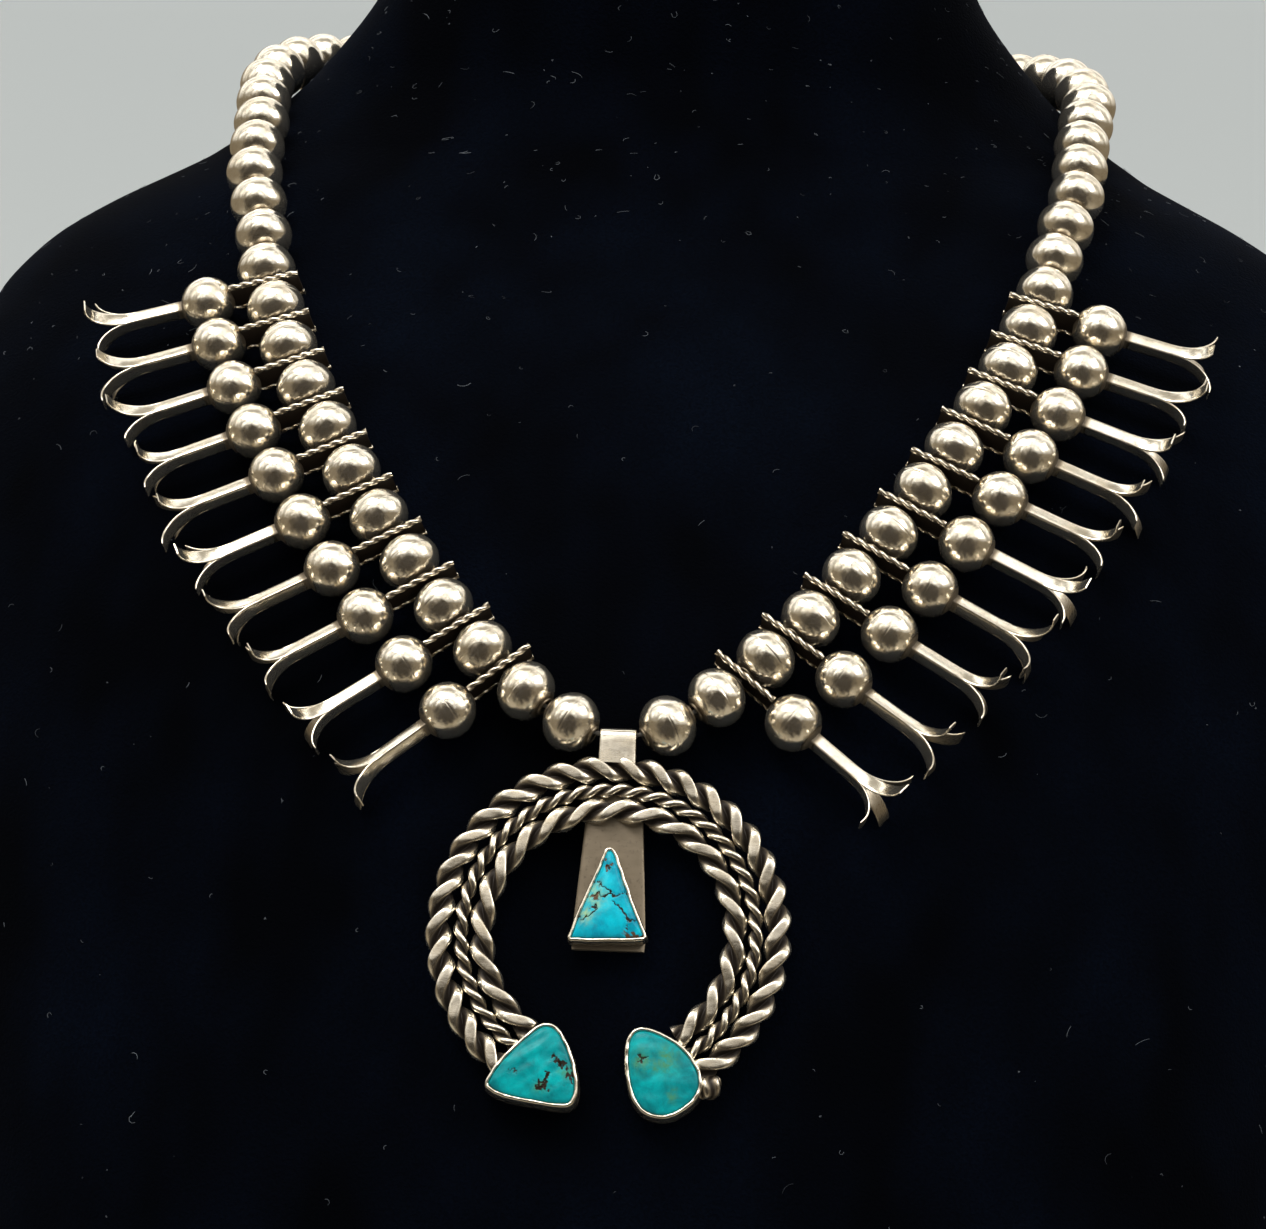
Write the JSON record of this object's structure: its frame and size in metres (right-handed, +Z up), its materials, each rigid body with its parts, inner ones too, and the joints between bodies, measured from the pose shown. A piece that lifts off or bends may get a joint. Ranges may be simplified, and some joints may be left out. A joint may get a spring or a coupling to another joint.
{
  "type": "squash blossom necklace on a neck bust",
  "caption": "Silver bead necklace with flared blossoms and a turquoise-set twisted-rope horseshoe pendant, worn on a plain black velvet neck bust.",
  "frame": {"origin": "middle of the bust's base, on the surface that the bust stands on", "axes": "+Z up, the necklace faces -Y, +X to the right as seen from the front"},
  "size_m": [0.2694, 0.2042, 0.295],
  "materials": {
    "velvet": "black cotton velvet with short pile and pale lint specks",
    "silver": "hand-polished sterling silver, finely scratched, with dark oxidised grooves",
    "turquoise_blue": "polished bright blue turquoise with brown matrix cracks",
    "turquoise_green": "polished green-blue turquoise with brown matrix patches",
    "thread": "waxed dark stringing thread"
  },
  "bodies": {
    "display": {"bust": "velvet", "thread": "thread", "clasp": "silver", "bead_left_1": "silver", "bead_left_2": "silver", "bead_left_3": "silver", "bead_left_4": "silver", "bead_left_5": "silver", "bead_left_6": "silver", "bead_left_7": "silver", "bead_left_8": "silver", "bead_left_9": "silver", "bead_left_10": "silver", "bead_left_11": "silver", "bead_left_12": "silver", "bead_right_1": "silver", "bead_right_2": "silver", "bead_right_3": "silver", "bead_right_4": "silver", "bead_right_5": "silver", "bead_right_6": "silver", "bead_right_7": "silver", "bead_right_8": "silver", "bead_right_9": "silver", "bead_right_10": "silver", "bead_right_11": "silver", "bead_right_12": "silver", "neck_beads_left": "silver", "neck_beads_right": "silver", "blossom_left_1": "silver", "blossom_left_2": "silver", "blossom_left_3": "silver", "blossom_left_4": "silver", "blossom_left_5": "silver", "blossom_left_6": "silver", "blossom_left_7": "silver", "blossom_left_8": "silver", "blossom_left_9": "silver", "blossom_left_10": "silver", "blossom_right_1": "silver", "blossom_right_2": "silver", "blossom_right_3": "silver", "blossom_right_4": "silver", "blossom_right_5": "silver", "blossom_right_6": "silver", "blossom_right_7": "silver", "blossom_right_8": "silver", "blossom_right_9": "silver", "blossom_right_10": "silver"},
    "naja": {"naja": "silver", "stone_left": "turquoise_green", "stone_right": "turquoise_green", "stone_drop": "turquoise_blue"}
  },
  "joints": [
    {"name": "naja_swing", "type": "hinge", "parent": "display", "child": "naja", "pos_m": [0, -0.07132, 0.1299], "axis": [-1, 0, 0], "range_deg": [0, 55]}
  ]
}
